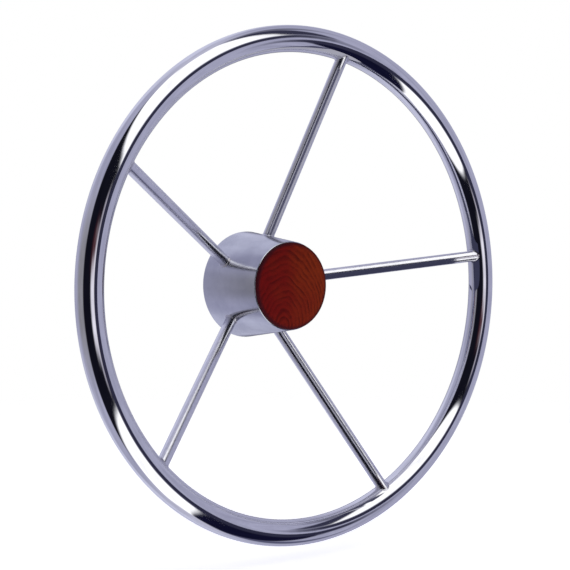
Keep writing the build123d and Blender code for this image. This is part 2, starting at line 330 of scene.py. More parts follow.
@dataclass(frozen=True)
class SpunSteel:
    """Stainless steel worked in a lathe and lightly buffed, with fine rings round the axle."""

    name: str = "spun_steel"
    bright: Colour = (0.66, 0.67, 0.72)
    dull: Colour = (0.55, 0.56, 0.62)
    roughness: Span = (0.13, 0.24)
    ring_scale: float = 2600.0
    ring_depth: float = 0.012 * MM
    dent_depth: float = 0.3 * MM
    ring_drift: float = 0.6 * MM

    def material(self) -> bpy.types.Material:
        """Builds the material.

        Returns:
            The material.
        """
        sheet = SurfaceSheet(self.name)
        place = sheet.place()
        x, y, z = sheet.split(place)
        angle = sheet.math("ARCTAN2", z, x)
        across = sheet.joined(y, sheet.times(angle, self.ring_drift), sheet.length(x, z))
        rings = sheet.noise(across, self.ring_scale, 3.0, 0.7)
        cloud = sheet.noise(place, 40.0, 4.0, 0.6)
        patchy = sheet.scale(cloud, *self.roughness, 0.25, 0.75)
        sheet.set(
            Base_Color=sheet.mix(sheet.ease(cloud, 0.3, 0.7), self.bright, self.dull),
            Roughness=sheet.math("ADD", patchy, sheet.scale(rings, -0.03, 0.03)),
            Metallic=1.0,
        )
        sheet.emboss(rings, self.ring_depth, 0.5)
        sheet.emboss(cloud, self.dent_depth, 0.12)
        return sheet.material


@dataclass(frozen=True)
class WeldSteel:
    """A ground weld: brushed where the wheel went over it, a little straw coloured where it was hot."""

    name: str = "ground_weld"
    steel: Colour = (0.66, 0.66, 0.71)
    heat: Colour = (0.52, 0.46, 0.42)
    roughness: Span = (0.16, 0.34)
    lump_depth: float = 0.12 * MM
    grit_depth: float = 0.03 * MM

    def material(self) -> bpy.types.Material:
        """Builds the material.

        Returns:
            The material.
        """
        sheet = SurfaceSheet(self.name)
        place = sheet.place()
        patch = sheet.noise(place, 260.0, 3.0, 0.6)
        straw = sheet.scale(sheet.ease(patch, 0.45, 0.75), 0.0, 0.45)
        sheet.set(
            Base_Color=sheet.mix(straw, self.steel, self.heat),
            Roughness=sheet.scale(patch, *self.roughness, 0.3, 0.7),
            Metallic=1.0,
        )
        sheet.emboss(patch, self.lump_depth, 0.5)
        sheet.emboss(sheet.noise(place, 1900.0, 3.0, 0.6), self.grit_depth, 0.4)
        return sheet.material


@dataclass(frozen=True)
class CapWood:
    """Red hardwood cut so that its growth rings show as nested arches, under a thin satin varnish.

    Attributes:
        name: The material's name.
        dark: The late wood, which makes the thin lines.
        middle: The colour between the rings towards the left.
        light: The lighter, more orange colour between the rings towards the right.
        edge: The darker colour that the disc takes towards its edge and over its side.
        heart: The middle of the rings, as X and Z.
        ring_gap: The distance from ring to ring.
        ring_squash: How much flatter than round the rings are upwards.
        warp: How far the rings wander.
        face_radius: The disc's radius.
    """

    name: str = "red_hardwood"
    dark: Colour = (0.055, 0.002, 0.003)
    middle: Colour = (0.18, 0.006, 0.0055)
    light: Colour = (0.255, 0.029, 0.006)
    edge: Colour = (0.045, 0.006, 0.011)
    heart: Span = (-9.5 * MM, -33.0 * MM)
    ring_gap: float = 3.3 * MM
    ring_squash: float = 0.66
    warp: float = 4.5 * MM
    face_radius: float = 33.7 * MM

    def rings(self, sheet: SurfaceSheet, place: Socket) -> Socket:
        """How much late wood there is at each point.

        Args:
            sheet: The material's sheet.
            place: The object coordinates.

        Returns:
            The rings' socket, from 0 to 1.
        """
        x, _, z = sheet.split(place)
        across = sheet.math("SUBTRACT", x, self.heart[0])
        rise = sheet.times(sheet.math("SUBTRACT", z, self.heart[1]), self.ring_squash)
        drift = sheet.noise(sheet.stretched(place, 1.0, 0.35, 1.0), 42.0, 3.0)
        wander = sheet.scale(drift, -self.warp, self.warp)
        count = sheet.math("DIVIDE", sheet.math("ADD", sheet.length(across, rise), wander), self.ring_gap)
        latewood = sheet.band(sheet.math("FRACT", count), (0.15, 0.85), (1.0, 0.9))
        strength = sheet.scale(sheet.noise(sheet.joined(count, 0.0, 0.0), 0.7), 0.1, 1.0, 0.35, 0.65)
        breaks = sheet.noise(sheet.stretched(place, 1.0, 0.4, 1.0), 150.0, 3.0, 0.6)
        return sheet.times(latewood, strength, sheet.scale(breaks, 0.3, 1.0, 0.36, 0.55))

    def material(self) -> bpy.types.Material:
        """Builds the material.

        Returns:
            The material.
        """
        sheet = SurfaceSheet(self.name)
        place = sheet.place()
        x, _, z = sheet.split(place)
        ring = self.rings(sheet, place)
        broad = sheet.noise(sheet.stretched(place, 1.0, 0.4, 1.0), 38.0)
        # The wood turns lighter and more orange towards the right, with a broad noise.
        sideways = sheet.scale(x, -0.35, 0.75, -self.face_radius, self.face_radius)
        warmth = sheet.ease(sheet.math("ADD", sideways, broad), 0.25, 1.25)
        grain = sheet.noise(sheet.stretched(place, 1.0, 0.12, 1.0), 900.0, 3.0, 0.7)
        colour = sheet.mix(warmth, self.middle, self.light)
        colour = sheet.mix(sheet.times(ring, 0.9), colour, self.dark)
        colour = sheet.mix(sheet.scale(sheet.ease(grain, 0.55, 0.75), 0.0, 0.45), colour, self.dark)
        # The wood turns darker towards the disc's edge and over its side.
        rim = sheet.ease(sheet.length(x, z), self.face_radius * 0.89, self.face_radius * 0.99)
        sheet.set(
            Base_Color=sheet.mix(sheet.times(rim, 0.85), colour, self.edge),
            Roughness=sheet.scale(grain, 0.42, 0.58, 0.3, 0.7),
            Specular_IOR_Level=0.05,
        )
        sheet.emboss(ring, 0.06 * MM, 0.35)
        sheet.emboss(grain, 0.05 * MM, 0.4)
        return sheet.material


@dataclass(frozen=True)
class Moulding:
    """A moulded or rubber surface with a fine texture."""

    name: str
    colour: Colour
    worn: Colour
    roughness: Span
    texture_depth: float = 0.03 * MM

    def material(self) -> bpy.types.Material:
        """Builds the material.

        Returns:
            The material.
        """
        sheet = SurfaceSheet(self.name)
        place = sheet.place()
        cloud = sheet.noise(place, 120.0, 4.0, 0.6)
        sheet.set(
            Base_Color=sheet.mix(sheet.ease(cloud, 0.4, 0.8), self.colour, self.worn),
            Roughness=sheet.scale(cloud, *self.roughness, 0.3, 0.7),
        )
        sheet.emboss(sheet.noise(place, 1400.0), self.texture_depth, 0.5)
        return sheet.material


class Finish(Enum):
    """The finishes, each with the record's slot that it belongs to and what makes its material."""

    MIRROR = ("polished_stainless", MirrorSteel())
    ROD = (
        "polished_stainless",
        MirrorSteel("buffed_rod", (0.84, 0.84, 0.88), (0.76, 0.76, 0.81), (0.17, 0.25), 0.35 * MM, 0.0015 * MM),
    )
    SPUN = ("satin_stainless", SpunSteel())
    TURNED = (
        "machined_steel",
        SpunSteel("turned_steel", (0.72, 0.72, 0.73), (0.6, 0.6, 0.62), (0.2, 0.34), ring_scale=1800.0),
    )
    WELD = ("weld_steel", WeldSteel())
    WOOD = ("cap_wood", CapWood())
    BLACK = (
        "black_plastic",
        Moulding("black_moulding", (0.018, 0.018, 0.02), (0.035, 0.035, 0.037), (0.42, 0.6)),
    )
    NYLON = ("nylon", Moulding("natural_nylon", (0.72, 0.71, 0.64), (0.8, 0.79, 0.74), (0.35, 0.5)))
    RUBBER = ("seal_rubber", Moulding("seal_rubber", (0.012, 0.012, 0.012), (0.03, 0.03, 0.03), (0.55, 0.75)))

    @property
    def slot(self) -> str:
        """The record's slot."""
        return self.value[0]

    @functools.cache
    def material(self) -> bpy.types.Material:
        """The finish's material, made when it is first asked for."""
        return self.value[1].material()

    def dress(self, piece: bpy.types.Object) -> None:
        """Gives a piece this finish all over."""
        piece.data.materials.clear()
        piece.data.materials.append(self.material())


# ---- Shapes --------------------------------------------------------------------------------------------------


@dataclass(frozen=True)
class Corner:
    """A corner of a turned outline in millimetres, with the radius that it is rounded to."""

    ahead: float
    radius: float
    rounding: float = 0.15


def rounded_outline(corners: Sequence[Corner], steps: int = 5) -> Outline:
    """A closed outline with its corners rounded.

    Args:
        corners: The outline's corners in order.
        steps: How many segments each rounding has.

    Returns:
        Points of distance ahead and radius, in millimetres.
    """
    spots = [Vector((corner.ahead, corner.radius)) for corner in corners]
    points: Outline = []
    for index, corner in enumerate(corners):
        here = spots[index]
        if corner.rounding <= 0 or corner.radius <= 0:
            points.append(tuple(here))
            continue
        before, after = spots[index - 1] - here, spots[(index + 1) % len(spots)] - here
        half = before.angle(after) / 2
        room = EDGE_SHARE * min(before.length, after.length)
        reach = min(corner.rounding / math.tan(half), room)
        radius = reach * math.tan(half)
        before.normalize()
        after.normalize()
        centre = here + (before + after).normalized() * (radius / math.sin(half))
        arm, far_arm = here + before * reach - centre, here + after * reach - centre
        sweep = math.copysign(math.pi - 2 * half, arm.x * far_arm.y - arm.y * far_arm.x)
        points += [tuple(centre + Matrix.Rotation(sweep * step / steps, 2) @ arm) for step in range(steps + 1)]
    return points


def applied(carrier: bpy.types.Object) -> bpy.types.Mesh:
    """Applies an object's modifiers.

    Args:
        carrier: The object, which is removed with its modifiers.

    Returns:
        The plain mesh that they give.
    """
    depsgraph = bpy.context.evaluated_depsgraph_get()
    mesh = bpy.data.meshes.new_from_object(carrier.evaluated_get(depsgraph), depsgraph=depsgraph)
    bpy.data.objects.remove(carrier)
    return mesh


def linked(name: str, data: bpy.types.ID) -> bpy.types.Object:
    """Adds an object to the scene, at the origin.

    Args:
        name: Its name.
        data: Its mesh or camera.

    Returns:
        The new object.
    """
    thing = bpy.data.objects.new(name, data)
    bpy.context.scene.collection.objects.link(thing)
    return thing


def new_piece(name: str, mesh: bpy.types.Mesh, sharp_deg: float = 30.0) -> bpy.types.Object:
    """Links a finished mesh into the scene as a smooth-shaded object.

    Args:
        name: The piece's name.
        mesh: Its mesh, in the wheel's frame.
        sharp_deg: Edges that turn by more than this stay sharp.

    Returns:
        The new object.
    """
    mesh.name = name
    mesh.shade_smooth()
    mesh.set_sharp_from_angle(angle=math.radians(sharp_deg))
    return linked(name, mesh)


def mesh_of(
    shape: bmesh.types.BMesh, mesh: bpy.types.Mesh | None = None, merge_gap: float = MERGE_GAP
) -> bpy.types.Mesh:
    """Writes a bmesh to a mesh with its doubles merged and its faces outwards.

    Args:
        shape: The bmesh, which is freed.
        mesh: The mesh to write to, or None for a new one.
        merge_gap: How near to each other two points are one.

    Returns:
        The mesh.
    """
    mesh = mesh or bpy.data.meshes.new("shape")
    bmesh.ops.remove_doubles(shape, verts=shape.verts, dist=merge_gap)
    bmesh.ops.recalc_face_normals(shape, faces=shape.faces)
    shape.to_mesh(mesh)
    shape.free()
    return mesh


def outward(mesh: bpy.types.Mesh) -> bpy.types.Mesh:
    """Merges a mesh's doubles and points its faces outwards.

    Args:
        mesh: The mesh, which is changed.

    Returns:
        The same mesh.
    """
    shape = bmesh.new()
    shape.from_mesh(mesh)
    return mesh_of(shape, mesh, 10 * MERGE_GAP)


def skin(shape: bmesh.types.BMesh, rows: Sequence[Sequence[Vector]], closed: bool = True) -> None:
    """Joins rows of points, each a closed ring, by quads.

    Args:
        shape: The bmesh to add to.
        rows: The rings in order, each with the same number of points.
        closed: Whether the last ring joins the first.
    """
    rings = [[shape.verts.new(point) for point in row] for row in rows]
    pairs = list(zip(rings, rings[1:])) + ([(rings[-1], rings[0])] if closed else [])
    for lower, upper in pairs:
        for index in range(len(lower)):
            following = (index + 1) % len(lower)
            shape.faces.new((lower[index], lower[following], upper[following], upper[index]))


def turned_mesh(outline: Outline, steps: int) -> bpy.types.Mesh:
    """A closed outline revolved about the axle.

    Args:
        outline: Points of distance ahead and radius, in millimetres. Points on the axle become poles.
        steps: How many steps the turn has.

    Returns:
        The revolved mesh.
    """
    shape = bmesh.new()
    angles = [2 * math.pi * step / steps for step in range(steps)]
    rows = [
        [Vector((radius * math.cos(a), -ahead, radius * math.sin(a))) * MM for a in angles]
        for ahead, radius in outline
    ]
    skin(shape, rows, closed=outline[0][1] > 0)
    bmesh.ops.remove_doubles(shape, verts=shape.verts, dist=MERGE_GAP)
    bmesh.ops.dissolve_degenerate(shape, edges=shape.edges, dist=MERGE_GAP / 10)
    return mesh_of(shape)


class GeometrySheet(NodeSheet):
    """A Geometry Nodes tree with named inputs, applied to give a plain mesh."""

    def __init__(self, name: str) -> None:
        """Makes an empty tree with a geometry output.

        Args:
            name: The tree's name.
        """
        super().__init__(bpy.data.node_groups.new(name, "GeometryNodeTree"))
        for way in ("INPUT", "OUTPUT"):
            self.tree.interface.new_socket("Geometry", in_out=way, socket_type="NodeSocketGeometry")
        self.inlet = self.add("NodeGroupInput")
        self.values: dict[str, object] = {}

    def size(self, name: str, value: object, kind: str = "NodeSocketFloat") -> Socket:
        """Adds a named input and says what it is set to.

        Args:
            name: The input's name.
            value: Its value on this piece.
            kind: Its socket type.

        Returns:
            The input's socket inside the tree.
        """
        item = self.tree.interface.new_socket(name, in_out="INPUT", socket_type=kind)
        self.values[item.identifier] = value
        return next(socket for socket in self.inlet.outputs if socket.identifier == item.identifier)

    def spot(self, name: str, place: Sequence[float]) -> Socket:
        """A point as a named input."""
        return self.size(name, tuple(place), "NodeSocketVector")

    def circle(self, name: str, radius: float, steps: int) -> Socket:
        """A circle curve with its radius as a named input."""
        inputs = {"Radius": self.size(name, radius), "Resolution": steps}
        return self.add("GeometryNodeCurvePrimitiveCircle", inputs).outputs[0]

    def sweep(self, path: Socket, section: Socket, caps: bool = False) -> Socket:
        """A section curve swept along a path."""
        inputs = {"Curve": path, "Profile Curve": section, "Fill Caps": caps}
        return self.add("GeometryNodeCurveToMesh", inputs).outputs[0]

    def stood(self, geometry: Socket, name: str, ahead: float) -> Socket:
        """Stands flat geometry up to face the helmsman.

        Args:
            geometry: The geometry, which lies round the origin.
            name: The name of the input that holds its centre.
            ahead: How far ahead it stands.

        Returns:
            The placed geometry's socket.
        """
        centre = self.spot(name, (0.0, -ahead, 0.0))
        inputs = {"Geometry": geometry, "Translation": centre, "Rotation": (math.pi / 2, 0.0, 0.0)}
        return self.add("GeometryNodeTransform", inputs).outputs[0]

    def mesh(self, geometry: Socket, finish: Finish) -> bpy.types.Mesh:
        """Finishes the tree and turns its result into a plain mesh.

        Args:
            geometry: The geometry that the tree gives.
            finish: The finish of all its faces.

        Returns:
            The evaluated mesh, with its faces outwards.
        """
        smooth = self.add("GeometryNodeSetShadeSmooth", {"Geometry": geometry})
        real = self.add("GeometryNodeRealizeInstances", {"Geometry": smooth.outputs[0]})
        coat = {"Geometry": real.outputs[0], "Material": finish.material()}
        dressed = self.add("GeometryNodeSetMaterial", coat)
        self.add("NodeGroupOutput", {0: dressed.outputs[0]})
        carrier = linked(self.tree.name, bpy.data.meshes.new(self.tree.name))
        modifier = carrier.modifiers.new("shape", "NODES")
        modifier.node_group = self.tree
        for identifier, value in self.values.items():
            modifier[identifier] = value
        return outward(applied(carrier))


# ---- Sub-assemblies ------------------------------------------------------------------------------------------


class SubAssembly:
    """A group of pieces that are built and dressed together."""

    def fit(self, piece: bpy.types.Object, body: Body, finish: Finish, *nodes: str) -> None:
        """Dresses a piece, puts it on its body and hides the nodes that it stands for.

        Args:
            piece: The finished piece.
            body: The body that it moves with.
            finish: Its finish.
            nodes: The frame's nodes that it replaces.
        """
        finish.dress(piece)
        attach(piece, body.value)
        finish.slot
        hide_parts(*nodes)
        LOG.info("%s: %d faces on %s", piece.name, len(piece.data.polygons), body.value)

    def turn(self, name: str, outline: Outline, body: Body, finish: Finish, node: str, steps: int = 192) -> None:
        """Turns a piece from its outline and fits it.

        Args:
            name: The piece's name.
            outline: Its outline, in millimetres.
            body: The body that it moves with.
            finish: Its finish.
            node: The frame's node that it replaces.
            steps: How many steps the turn has.
        """
        self.fit(new_piece(name, turned_mesh(outline, steps)), body, finish, node)


@dataclass
class WheelSizes:
    """The sizes that the rim and the spokes share: the rim's, from its node's box, and the spokes' layout."""

    ring_radius: float
    tube_radius: float
    rim_ahead: float
    spoke_count: int = 5
    spoke_radius: float = 4.5 * MM
    spoke_turn: float = math.radians(10.8)
    dish: float = math.radians(23.5)
    spoke_forward: float = 0.8 * MM
    boss_radius: float = 19.0 * MM

    @classmethod
    def from_frame(cls) -> WheelSizes:
        """Reads the rim's box.

        Returns:
            The sizes.
        """
        low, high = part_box("rim_tube")
        tube = (high.y - low.y) / 2
        return cls(ring_radius=(high.z - low.z) / 2 - tube, tube_radius=tube, rim_ahead=-(high.y + low.y) / 2)

    def spoke_frame(self, index: int) -> Matrix:
        """The turn about the axle from the upright spoke to the one with an index."""
        return Matrix.Rotation(self.spoke_turn + 2 * math.pi * index / self.spoke_count, 4, "Y")

    def direction(self) -> Vector:
        """The upright spoke's direction, from the hub to the rim."""
        return Vector((0.0, -math.sin(self.dish), math.cos(self.dish)))

    def tip(self) -> Vector:
        """Where the upright spoke's axis meets the rim tube."""
        drop = math.sqrt(self.tube_radius**2 - self.spoke_forward**2)
        return Vector((0.0, -self.rim_ahead - self.spoke_forward, self.ring_radius - drop))

    def root(self) -> Vector:
        """Where the upright spoke's axis leaves the boss."""
        tip = self.tip()
        return tip - self.direction() * (tip.z - self.boss_radius) / math.cos(self.dish)


@dataclass
class Rim(SubAssembly):
    """The bent tube that the helmsman holds."""

    wheel: WheelSizes
    ring_steps: int = 480
    tube_steps: int = 96

    def build(self) -> None:
        """Sweeps the tube's circle round the rim's circle."""
        sheet = GeometrySheet("rim_sweep")
        path = sheet.circle("Ring Radius", self.wheel.ring_radius, self.ring_steps)
        section = sheet.circle("Tube Radius", self.wheel.tube_radius, self.tube_steps)
        placed = sheet.stood(sheet.sweep(path, section), "Centre", self.wheel.rim_ahead)
        piece = new_piece("polished_rim", sheet.mesh(placed, Finish.MIRROR))
        self.fit(piece, Body.WHEEL, Finish.MIRROR, "rim_tube", "rim_seam_weld")


@dataclass
class Spokes(SubAssembly):
    """The five rods, which run from the boss through the shell and end out of sight inside the rim."""

    wheel: WheelSizes
    overrun: float = 6.0 * MM
    rod_steps: int = 64

    def build(self) -> None:
        """Sweeps a rod's circle along each spoke's line."""
        ends = {"Root": self.wheel.root(), "Tip": self.wheel.tip() + self.wheel.direction() * self.overrun}
        for index in range(self.wheel.spoke_count):
            number, turn = index + 1, self.wheel.spoke_frame(index)
            sheet = GeometrySheet(f"spoke_sweep_{number}")
            start, end = (sheet.spot(name, turn @ place) for name, place in ends.items())
            line = sheet.add("GeometryNodeCurvePrimitiveLine", {"Start": start, "End": end}).outputs[0]
            section = sheet.circle("Rod Radius", self.wheel.spoke_radius, self.rod_steps)
            rod = sheet.mesh(sheet.sweep(line, section, caps=True), Finish.ROD)
            self.fit(new_piece(f"spoke_rod_{number}", rod), Body.WHEEL, Finish.ROD, f"spoke_{number}")


@dataclass
class SpokeWelds(SubAssembly):
    """The ground fillets where the spokes meet the rim and the shell."""

    wheel: WheelSizes
    hub: Hub
    rim_leg: float = 1.5 * MM
    shell_leg: float = 1.4 * MM
    rim_start: float = 75.0 * MM
    shell_start: float = -45.0 * MM
    longest_reach: float = 30.0 * MM
    nudge: float = 0.1 * MM
    slope_step: float = 0.01 * MM
    settlings: int = 6
    halvings: int = 40
    around: int = 72
    across: int = 8

    def rim_gap(self, point: Vector) -> float:
        """How far a point is outside the rim tube's surface."""
        out = math.hypot(point.x, point.z) - self.wheel.ring_radius
        return math.hypot(out, point.y + self.wheel.rim_ahead) - self.wheel.tube_radius

    def shell_gap(self, point: Vector) -> float:
        """How far a point is outside the shell's cone."""
        out = math.hypot(point.x, point.z) - self.hub.outer(-point.y / MM) * MM
        return out * math.cos(self.hub.slope())

    def onto(self, gap: Callable[[Vector], float], point: Vector) -> Vector:
        """The nearest point of a member's surface.

        Args:
            gap: The member's distance function.
            point: A point near the surface.

        Returns:
            The point moved down the function's slope to the surface.
        """
        axes = [Vector(axis) * self.slope_step for axis in ((1, 0, 0), (0, 1, 0), (0, 0, 1))]
        for _ in range(self.settlings):
            here = gap(point)
            slope = Vector([gap(point + axis) - here for axis in axes])
            point = point - slope.normalized() * here
        return point

    def seam(self, gap: Callable[[Vector], float], foot: Vector, run: Vector) -> Vector:
        """Where a line along the spoke's skin reaches a member, found by halving.

        Args:
            gap: The member's distance function.
            foot: A point of the line outside the member.
            run: The line's direction, towards the member.

        Returns:
            The point where the line goes in.
        """
        low, high = 0.0, self.longest_reach
        for _ in range(self.halvings):
            middle = (low + high) / 2
            low, high = (middle, high) if gap(foot + run * middle) > 0 else (low, middle)
        return foot + run * low

    def bead(self, gap: Callable[[Vector], float], start: Vector, leg: float) -> list[list[Vector]]:
        """One hollow fillet on the upright spoke.

        Args:
            gap: The member's distance function.
            start: A point on the spoke's axis, a little outside the member.
            leg: The fillet's leg on both surfaces.

        Returns:
            The rings of the fillet's closed section, each a row of points round the spoke.
        """
        run = self.wheel.direction()
        if gap(start + run * self.nudge) > gap(start):
            run = -run
        side = Vector((1.0, 0.0, 0.0))
        other = run.cross(side)
        shares = [step / self.across for step in range(self.across + 1)]
        sections = []
        for index in range(self.around):
            angle = 2 * math.pi * index / self.around
            out = side * math.cos(angle) + other * math.sin(angle)
            seam = self.seam(gap, start + out * self.wheel.spoke_radius, run)
            top, spread = seam - run * leg, self.onto(gap, seam + out * leg)
            hollow = [top.lerp(seam, t).lerp(seam.lerp(spread, t), t) for t in shares]
            sections.append([*hollow, seam + (run - out) * (leg / 2)])
        return [list(row) for row in zip(*sections)]

    def build(self) -> None:
        """Makes the two sets of beads, one piece each."""
        middle = self.wheel.root().lerp(self.wheel.tip(), 0.5)
        for name, node, gap, leg, reach in (
            ("rim_fillets", "rim_weld_beads", self.rim_gap, self.rim_leg, self.rim_start),
            ("shell_fillets", "shell_weld_beads", self.shell_gap, self.shell_leg, self.shell_start),
        ):
            rows = self.bead(gap, middle + self.wheel.direction() * reach, leg)
            shape = bmesh.new()
            for index in range(self.wheel.spoke_count):
                turn = self.wheel.spoke_frame(index)
                skin(shape, [[turn @ point for point in row] for row in rows])
            self.fit(new_piece(name, mesh_of(shape), 60.0), Body.WHEEL, Finish.WELD, node)


@dataclass
class Hub(SubAssembly):
    """The spun shell, the plate that closes its back and the boss inside it, with sizes in millimetres."""

    length: float
    rear_radius: float = 42.6
    front_radius: float = 34.4
    wall: float = 2.2
    mouth_radius: float = 32.0
    mouth_depth: float = 13.0
    boss_radius: float = 19.0
    boss_edge: float = 0.25
    boss_edge_deg: float = 40.0
    plate_inset: float = 1.0
    plate_thickness: float = 2.5
    shell_steps: int = 256

    @classmethod
    def from_frame(cls) -> Hub:
        """Reads the shell's box."""
        low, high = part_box("hub_shell")
        return cls(length=(high.y - low.y) / MM)

    def outer(self, ahead: float) -> float:
        """The shell's outer radius at a distance ahead."""
        return self.rear_radius + (self.front_radius - self.rear_radius) * ahead / self.length

    def inner(self, ahead: float) -> float:
        """The radius of the shell's conical inside."""
        return self.outer(ahead) - self.wall

    def slope(self) -> float:
        """The cone's half angle, in radians."""
        return math.atan((self.rear_radius - self.front_radius) / self.length)

    def build(self, frame: dict) -> None:
        """Makes the turned pieces and the boss, and dresses the welds that stay as they are.

        Args:
            frame: The loaded frame.
        """
        shoulder = self.length - self.mouth_depth
        cone = shoulder - (self.inner(shoulder) - self.mouth_radius)
        shell = rounded_outline(
            (
                Corner(0, self.inner(0), 0.3),
                Corner(0, self.rear_radius, 1.6),
                Corner(self.length, self.front_radius, 0.7),
                Corner(self.length, self.mouth_radius, 0.7),
                Corner(shoulder, self.mouth_radius, 0.2),
                Corner(cone, self.inner(cone), 0.2),
            )
        )
        self.turn("spun_shell", shell, Body.WHEEL, Finish.SPUN, "hub_shell", self.shell_steps)
        back, front = self.plate_inset, self.plate_inset + self.plate_thickness
        plate = rounded_outline(
            (
                Corner(back, self.boss_radius, 0.1),
                Corner(back, self.inner(back), 0.1),
                Corner(front, self.inner(front), 0.1),
                Corner(front, self.boss_radius, 0.1),
            )
        )
        self.turn("back_plate", plate, Body.WHEEL, Finish.SPUN, "rear_plate")
        self.fit(self.eased_boss(frame["nodes"]["hub_boss"]), Body.WHEEL, Finish.TURNED, "hub_boss")
        for node in ("boss_weld_beads", "rear_plate_welds"):
            Finish.WELD.dress(frame["nodes"][node])
            LOG.info("%s: dressed as it is", node)

    def eased_boss(self, node: bpy.types.Object) -> bpy.types.Object:
        """A copy of the boss with its sharp edges eased.

        Args:
            node: The boss's node.

        Returns:
            The new piece.
        """
        copy = linked("keyed_boss", outward(node.data.copy()))
        bevel = copy.modifiers.new("edges", "BEVEL")
        bevel.width, bevel.segments = self.boss_edge * MM, 2
        bevel.limit_method, bevel.angle_limit = "ANGLE", math.radians(self.boss_edge_deg)
        return new_piece("keyed_boss", applied(copy), 35.0)


@dataclass
class Cap(SubAssembly):
    """The wooden disc with the plug, seal and screws behind it, with sizes in millimetres."""

    radius: float = 33.7
    back: float = 58.8
    edge_ahead: float = 61.0
    crown: float = 1.5
    crown_steps: int = 24
    edge_round: float = 1.3
    disc_steps: int = 224
    spigot_radius: float = 31.3
    plug_front: float = 54.0
    plug_floor: float = 52.0
    plug_radius: float = 31.65
    skirt_ahead: float = 46.5
    skirt_inner: float = 27.45
    ring_radius: float = 30.6
    ring_section: float = 1.25
    ring_steps: int = 24
    groove_half: float = 1.4
    screw_circle: float = 20.0
    screw_count: int = 3
    screw_steps: int = 48
    head_radius: float = 3.0
    head_height: float = 1.8
    slot_half: float = 0.45
    slot_depth: float = 0.8
    shank_radius: float = 1.5
    shank_length: float = 6.0

    def build(self) -> None:
        """Makes every piece of the cap."""
        self.turn("hardwood_disc", self.disc_outline(), Body.CAP, Finish.WOOD, "wood_cap", self.disc_steps)
        middle = (self.skirt_ahead + self.plug_floor) / 2
        self.turn("cap_socket", self.plug_outline(middle), Body.CAP, Finish.BLACK, "cap_plug")
        angles = [2 * math.pi * step / self.ring_steps for step in range(self.ring_steps)]
        section = [
            (middle + self.ring_section * math.cos(a), self.ring_radius + self.ring_section * math.sin(a))
            for a in angles
        ]
        self.turn("seal_ring", section, Body.CAP, Finish.RUBBER, "cap_o_ring")
        self.build_screws()

    def disc_outline(self) -> Outline:
        """The disc's outline: a crowned face, a rounded edge and a spigot behind.

        Returns:
            The outline.
        """
        bend = (self.radius**2 + self.crown**2) / (2 * self.crown)
        face_radii = [self.radius * step / self.crown_steps for step in range(self.crown_steps - 1)]
        face = [(self.edge_ahead + math.sqrt(bend**2 - r**2) - (bend - self.crown), r) for r in face_radii]
        edge = rounded_outline(
            (
                Corner(*face[-1], 0),
                Corner(self.edge_ahead, self.radius, self.edge_round),
                Corner(self.back, self.radius, 0.25),
                Corner(self.back, self.spigot_radius, 0.1),
                Corner(self.plug_front, self.spigot_radius, 0.3),
                Corner(self.plug_front, 0, 0),
            ),
            8,
        )
        return face[:-1] + edge

    def plug_outline(self, middle: float) -> Outline:
        """The plug's outline: a floor against the wood and a skirt with a groove in it.

        Args:
            middle: The groove's middle, as a distance ahead.

        Returns:
            The outline.
        """
        groove = self.ring_radius - self.ring_section
        return rounded_outline(
            (
                Corner(self.plug_floor, 0, 0),
                Corner(self.plug_floor, self.skirt_inner, 0.5),
                Corner(self.skirt_ahead, self.skirt_inner, 0.3),
                Corner(self.skirt_ahead, self.plug_radius, 0.5),
                Corner(middle - self.groove_half, self.plug_radius, 0.1),
                Corner(middle - self.groove_half, groove, 0.1),
                Corner(middle + self.groove_half, groove, 0.1),
                Corner(middle + self.groove_half, self.plug_radius, 0.1),
                Corner(self.plug_front, self.plug_radius, 0.3),
                Corner(self.plug_front, 0, 0),
            )
        )

    def screw_blank(self) -> bpy.types.Object:
        """Makes one slotted pan-head screw that points ahead, with its seat at the origin.

        Returns:
            The screw's object.
        """
        outline = rounded_outline(
            (
                Corner(-self.head_height, 0, 0),
                Corner(-self.head_height, self.head_radius, 0.7),
                Corner(0, self.head_radius, 0.1),
                Corner(0, self.shank_radius, 0.05),
                Corner(self.shank_length, self.shank_radius, 0.4),
                Corner(self.shank_length, 0, 0),
            )
        )
        block = bmesh.new()
        size = Vector((2 * self.slot_half, 2 * self.slot_depth, 3 * self.head_radius)) * MM
        seat = Matrix.Translation((0.0, self.head_height * MM, 0.0))
        bmesh.ops.create_cube(block, size=1.0, matrix=seat @ Matrix.Diagonal(size).to_4x4())
        cutter = linked("cutter", mesh_of(block))
        screw = linked("uncut_screw", turned_mesh(outline, self.screw_steps))
        cut = screw.modifiers.new("slot", "BOOLEAN")
        cut.operation, cut.object, cut.solver = "DIFFERENCE", cutter, "EXACT"
        slotted = linked("screw_blank", applied(screw))
        bpy.data.objects.remove(cutter)
        return slotted

    def build_screws(self) -> None:
        """Sets a screw at each point of the screw circle."""
        blank = self.screw_blank()
        sheet = GeometrySheet("cap_screw_circle")
        count = sheet.size("Count", self.screw_count, "NodeSocketInt")
        inputs = {"Vertices": count, "Radius": sheet.size("Circle", self.screw_circle * MM)}
        ring = sheet.add("GeometryNodeMeshCircle", inputs)
        seats = sheet.stood(ring.outputs[0], "Seat", self.plug_floor * MM)
        source = sheet.add("GeometryNodeObjectInfo", {"Object": blank}).outputs["Geometry"]
        placed = sheet.add("GeometryNodeInstanceOnPoints", {"Points": seats, "Instance": source})
        piece = new_piece("slotted_screws", sheet.mesh(placed.outputs[0], Finish.TURNED), 35.0)
        bpy.data.objects.remove(blank)
        self.fit(piece, Body.CAP, Finish.TURNED, "cap_screws")


